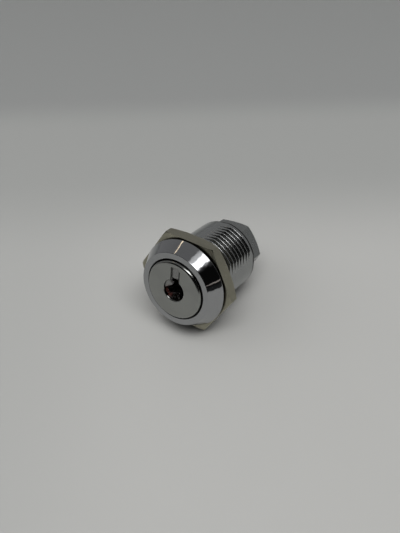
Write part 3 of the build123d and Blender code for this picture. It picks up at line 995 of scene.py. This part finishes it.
@dataclass(frozen=True)
class MirroredPatch:
    """A part of the room as the metal mirrors it, with soft and broken edges; its measures are in degrees."""

    azimuth: float
    height: float
    width: float
    depth: float
    softness: float
    broken: float = 0.0
    glow: float = 1.0
    colour: Colour = (1.0, 1.0, 1.0)

    def mask(self, desk: NodeDesk, ray: RoomRay) -> Socket:
        """Lays out where the patch is.

        Args:
            desk: the world's desk.
            ray: where a ray leaves for the room.

        Returns:
            The socket with how strongly the patch shows, from 0 to its glow.
        """
        turn = desk.sum("SUBTRACT", ray.azimuth, self.azimuth)
        turn = desk.add("Math", {0: turn, 1: 180.0, 2: -180.0}, operation="WRAP").outputs[0]
        rise = desk.sum("SUBTRACT", ray.height, self.height)
        ragged = desk.ragged(ray.noise, self.broken)
        shown = self.glow
        for off, size in ((turn, self.width), (rise, self.depth)):
            off = desk.sum("ADD", desk.sum("ABSOLUTE", off), ragged)
            soft = min(self.softness, 0.45 * size)
            near = desk.within(off, 0.5 * size - soft, 0.5 * size + soft)
            shown = desk.sum("MULTIPLY", near, shown)
        return shown


def table_direction(table: Matrix, azimuth: float, height: float) -> Vector:
    """A direction as seen from the lock on its table.

    Args:
        table: where the table is.
        azimuth: degrees to the right of straight away from the camera.
        height: degrees above the table.

    Returns:
        The unit vector in the lock's frame.
    """
    turn, rise = math.radians(azimuth), math.radians(height)
    flat = Vector((math.sin(turn) * math.cos(rise), math.cos(turn) * math.cos(rise), math.sin(rise)))
    return (table.to_3x3() @ flat).normalized()


@dataclass
class Studio:
    """The table, lamps, room and camera, none of them part of the lock.

    The table's bands say how far from the camera, or how far to its side, one tone passes into the next.
    """

    up: Vector = field(default_factory=lambda: Vector((0.034, -0.21, 0.977)).normalized())
    camera_place: Point = (0.06305, -0.09653, 0.07625)
    camera_right: Point = (0.8260, 0.5589, 0.0727)
    camera_down: Point = (0.3473, -0.4032, -0.8467)
    camera_ahead: Point = (-0.4438, 0.7246, -0.5272)
    camera_range: Span = (0.005, 10.0)
    lens: float = 40.53
    table_reach: float = 1.2
    table_roughness: float = 0.75
    table_noise: float = 60.0
    near_tones: tuple[Colour, Colour] = ((0.478, 0.478, 0.463), (0.49, 0.49, 0.475))
    left_tone: Colour = (0.44, 0.443, 0.43)
    middle_tone: Colour = (0.37, 0.375, 0.365)
    far_tone: Colour = (0.304, 0.31, 0.305)
    left_band: Span = (-0.050, -0.008)
    middle_band: Span = (0.118, 0.162)
    far_band: Span = (0.190, 0.214)
    contact_shadow_tone: Colour = (0.015, 0.015, 0.015)
    contact_reach: float = 0.007
    contact_open: Span = (0.1, 0.6)
    contact_share: float = 0.85
    seen_tone: tuple[float, float, float, float] = (0.26, 0.265, 0.26, 1.0)
    room_glow: float = 0.23
    room_noise: float = 11.0
    room_blue: float = 1.01
    dark_glow: Span = (0.03, 0.006)
    dark_rise: Span = (0.0, 14.0)
    fill_glow: float = 0.35
    fill_lean: float = 0.45
    fill_dark: float = 0.03
    boxes: tuple[SoftBox, ...] = (
        SoftBox("window_box", azimuth=165.0, height=66.0, width=56.0, depth=24.0, glow=4.8),
        SoftBox("window_top", azimuth=152.0, height=82.0, width=50.0, depth=10.0, glow=1.3),
        SoftBox("side_window", azimuth=-100.0, height=42.0, width=50.0, depth=30.0, glow=1.1),
    )
    dark_parts: tuple[MirroredPatch, MirroredPatch] = (
        MirroredPatch(azimuth=150.0, height=0.0, width=106.0, depth=112.0, softness=9.0),
        MirroredPatch(azimuth=182.0, height=0.0, width=176.0, depth=102.0, softness=6.0),
    )
    bright_part: MirroredPatch = MirroredPatch(
        azimuth=20.0, height=0.0, width=115.0, depth=78.0, softness=17.0, glow=0.3)
    patches: tuple[MirroredPatch, ...] = (
        MirroredPatch(150.0, 67.5, width=118.0, depth=17.0, softness=3.5, broken=5.0, glow=3.4),
        MirroredPatch(150.0, 72.0, width=150.0, depth=26.0, softness=6.0, broken=10.0, glow=0.9),
        MirroredPatch(-40.5, 50.0, width=14.0, depth=2.4, softness=0.7, broken=4.4, glow=2.6,
                      colour=(1.0, 0.80, 0.56)),
        MirroredPatch(130.5, 13.5, width=6.0, depth=1.8, softness=0.6, broken=1.5, glow=0.55,
                      colour=(1.0, 0.88, 0.80)),
    )

    def table_frame(self) -> Matrix:
        """Where the table is: its origin under the lock, its Y away from the camera, its Z up.

        Returns:
            The matrix from table to lock.
        """
        ahead = Vector(self.camera_ahead)
        away = (ahead - self.up * ahead.dot(self.up)).normalized()
        side = away.cross(self.up).normalized()
        lowest = min(v.co.dot(self.up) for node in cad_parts.values() for v in node.data.vertices)
        turn = Matrix((side, away, self.up)).transposed().to_4x4()
        return Matrix.Translation(self.up * lowest) @ turn

    def build(self) -> None:
        """Makes the camera, the table, the lamps and the room."""
        table = self.table_frame()
        self.place_camera()
        self.lay_table(table)
        for box in self.boxes:
            box.hang(table)
        self.light_room(table)

    def place_camera(self) -> None:
        """Sets the camera where the photograph was taken from."""
        camera = bpy.data.objects.new("camera", bpy.data.cameras.new("camera"))
        bpy.context.scene.collection.objects.link(camera)
        camera.data.lens = self.lens
        camera.data.clip_start, camera.data.clip_end = self.camera_range
        axes = (Vector(self.camera_right), -Vector(self.camera_down), -Vector(self.camera_ahead))
        camera.matrix_world = Matrix.Translation(self.camera_place) @ Matrix(axes).transposed().to_4x4()
        bpy.context.scene.camera = camera

    def lay_table(self, table: Matrix) -> None:
        """Lays the table under the lock.

        Args:
            table: where the table is.
        """
        bpy.ops.object.select_all(action="DESELECT")
        bpy.ops.mesh.primitive_grid_add(x_subdivisions=8, y_subdivisions=8, size=2 * self.table_reach)
        top = bpy.context.object
        top.name = "table_top"
        top.data.transform(table)
        top.data.materials.append(self.table_material(table))
        LOG.info("%s laid", top.name)

    def table_material(self, table: Matrix) -> bpy.types.Material:
        """Pale matt laminate, of which the camera sees only the upper side.

        It is darker at its left and far sides, where the photograph's light falls off, and carries a painted
        contact shadow close to the lock.

        Args:
            table: where the table is.

        Returns:
            The material.
        """
        material, desk = new_material("table_laminate")
        place = desk.place()
        side, away = (table.to_3x3().col[i] for i in (0, 1))
        eye = Vector(self.camera_place)
        depth = desk.dot(place, away)
        middle, far = (desk.span(depth, *(eye.dot(away) + reach for reach in band))
                       for band in (self.middle_band, self.far_band))
        left = desk.within(desk.sum("SUBTRACT", desk.dot(place, side), eye.dot(side)), *self.left_band)
        colour = desk.blend(desk.noise(place, self.table_noise, 3.0), *self.near_tones)
        for share, tone in ((left, self.left_tone), (middle, self.middle_tone), (far, self.far_tone)):
            colour = desk.blend(share, colour, tone)
        # Painted contact shadow: the table goes dark where the lock is close above it, as ambient occlusion
        # finds.
        free = desk.add("AmbientOcclusion", {"Distance": self.contact_reach}, samples=12).outputs["AO"]
        contact_shadow = desk.span(free, *self.contact_open, self.contact_share, 0.0)
        colour = desk.blend(contact_shadow, colour, self.contact_shadow_tone)
        paint = desk.add("BsdfPrincipled", {"Base Color": colour, "Roughness": self.table_roughness})
        clear = desk.add("BsdfTransparent")
        behind = desk.sum("MULTIPLY", desk.add("NewGeometry").outputs["Backfacing"],
                          desk.add("LightPath").outputs["Is Camera Ray"])
        shader = desk.add("MixShader", {0: behind, 1: paint.outputs[0], 2: clear.outputs[0]})
        desk.add("OutputMaterial", {"Surface": shader.outputs[0]})
        return material

    def light_room(self, table: Matrix) -> None:
        """Gives the room what the metal mirrors, a soft fill and a plain background.

        Args:
            table: where the table is.
        """
        world = bpy.data.worlds.new("room")
        bpy.context.scene.world = world
        world.use_nodes = True
        world.node_tree.nodes.clear()
        desk = NodeDesk(world.node_tree)
        towards = desk.add("TexCoord").outputs["Generated"]
        side, away = (desk.dot(towards, table.to_3x3().col[i]) for i in (0, 1))
        ray = RoomRay(
            azimuth=desk.sum("DEGREES", desk.sum("ARCTAN2", side, away)),
            height=desk.sum("DEGREES", desk.sum("ARCSINE", desk.dot(towards, self.up))),
            noise=desk.noise(towards, self.room_noise, 3.0))
        dark = desk.sum("MAXIMUM", *(part.mask(desk, ray) for part in self.dark_parts))
        mirrored = desk.add("Background", {"Color": self.mirrored_room(desk, ray, dark)})
        lean = desk.sum("SUBTRACT", 1.0, desk.sum("MULTIPLY", side, self.fill_lean))
        lit = desk.sum("MULTIPLY", lean, self.fill_glow)
        spread = desk.add("Mix", {0: dark, 2: lit, 3: self.fill_dark}).outputs[0]
        grey = desk.add("CombineColor", {0: spread, 1: spread, 2: spread})
        fill = desk.add("Background", {"Color": grey.outputs[0]})
        seen = desk.add("Background", {"Color": self.seen_tone})
        path = desk.add("LightPath").outputs
        mix = desk.add("MixShader", {0: path["Is Glossy Ray"], 1: fill.outputs[0], 2: mirrored.outputs[0]})
        mix = desk.add("MixShader", {0: path["Is Camera Ray"], 1: mix.outputs[0], 2: seen.outputs[0]})
        desk.add("OutputWorld", {"Surface": mix.outputs[0]})

    def mirrored_room(self, desk: NodeDesk, ray: RoomRay, dark: Socket) -> Socket:
        """Paints the room that the metal mirrors: an even glow, dark and brighter sides and lit patches.

        Args:
            desk: the world's desk.
            ray: where a ray leaves for the room.
            dark: the socket with how dark the room is there.

        Returns:
            The socket with the colour.
        """
        room = desk.sum("MULTIPLY", desk.sum("ADD", 1.0, self.bright_part.mask(desk, ray)), self.room_glow)
        deep = desk.span(ray.height, *self.dark_rise, *self.dark_glow)
        glow = desk.add("Mix", {0: dark, 2: room, 3: deep}).outputs[0]
        blue = desk.sum("MULTIPLY", glow, self.room_blue)
        colour = desk.add("CombineXYZ", {0: glow, 1: glow, 2: blue}).outputs[0]
        for patch in self.patches:
            inputs = {0: patch.mask(desk, ray), 1: patch.colour, 2: colour}
            colour = desk.add("VectorMath", inputs, operation="MULTIPLY_ADD").outputs["Vector"]
        return colour


def main() -> None:
    """Builds the lock's sub-assemblies and the studio in order."""
    logging.basicConfig(level=logging.INFO, format="%(name)s: %(message)s")
    effects = Effects()
    for part in (LockBody(), KeyPlug(), WaferPack(), PanelNut(), TailEnd()):
        part.build(effects)
    Studio().build()
    bpy.context.scene.view_settings.view_transform = "Standard"


if __name__ == "__main__":
    main()
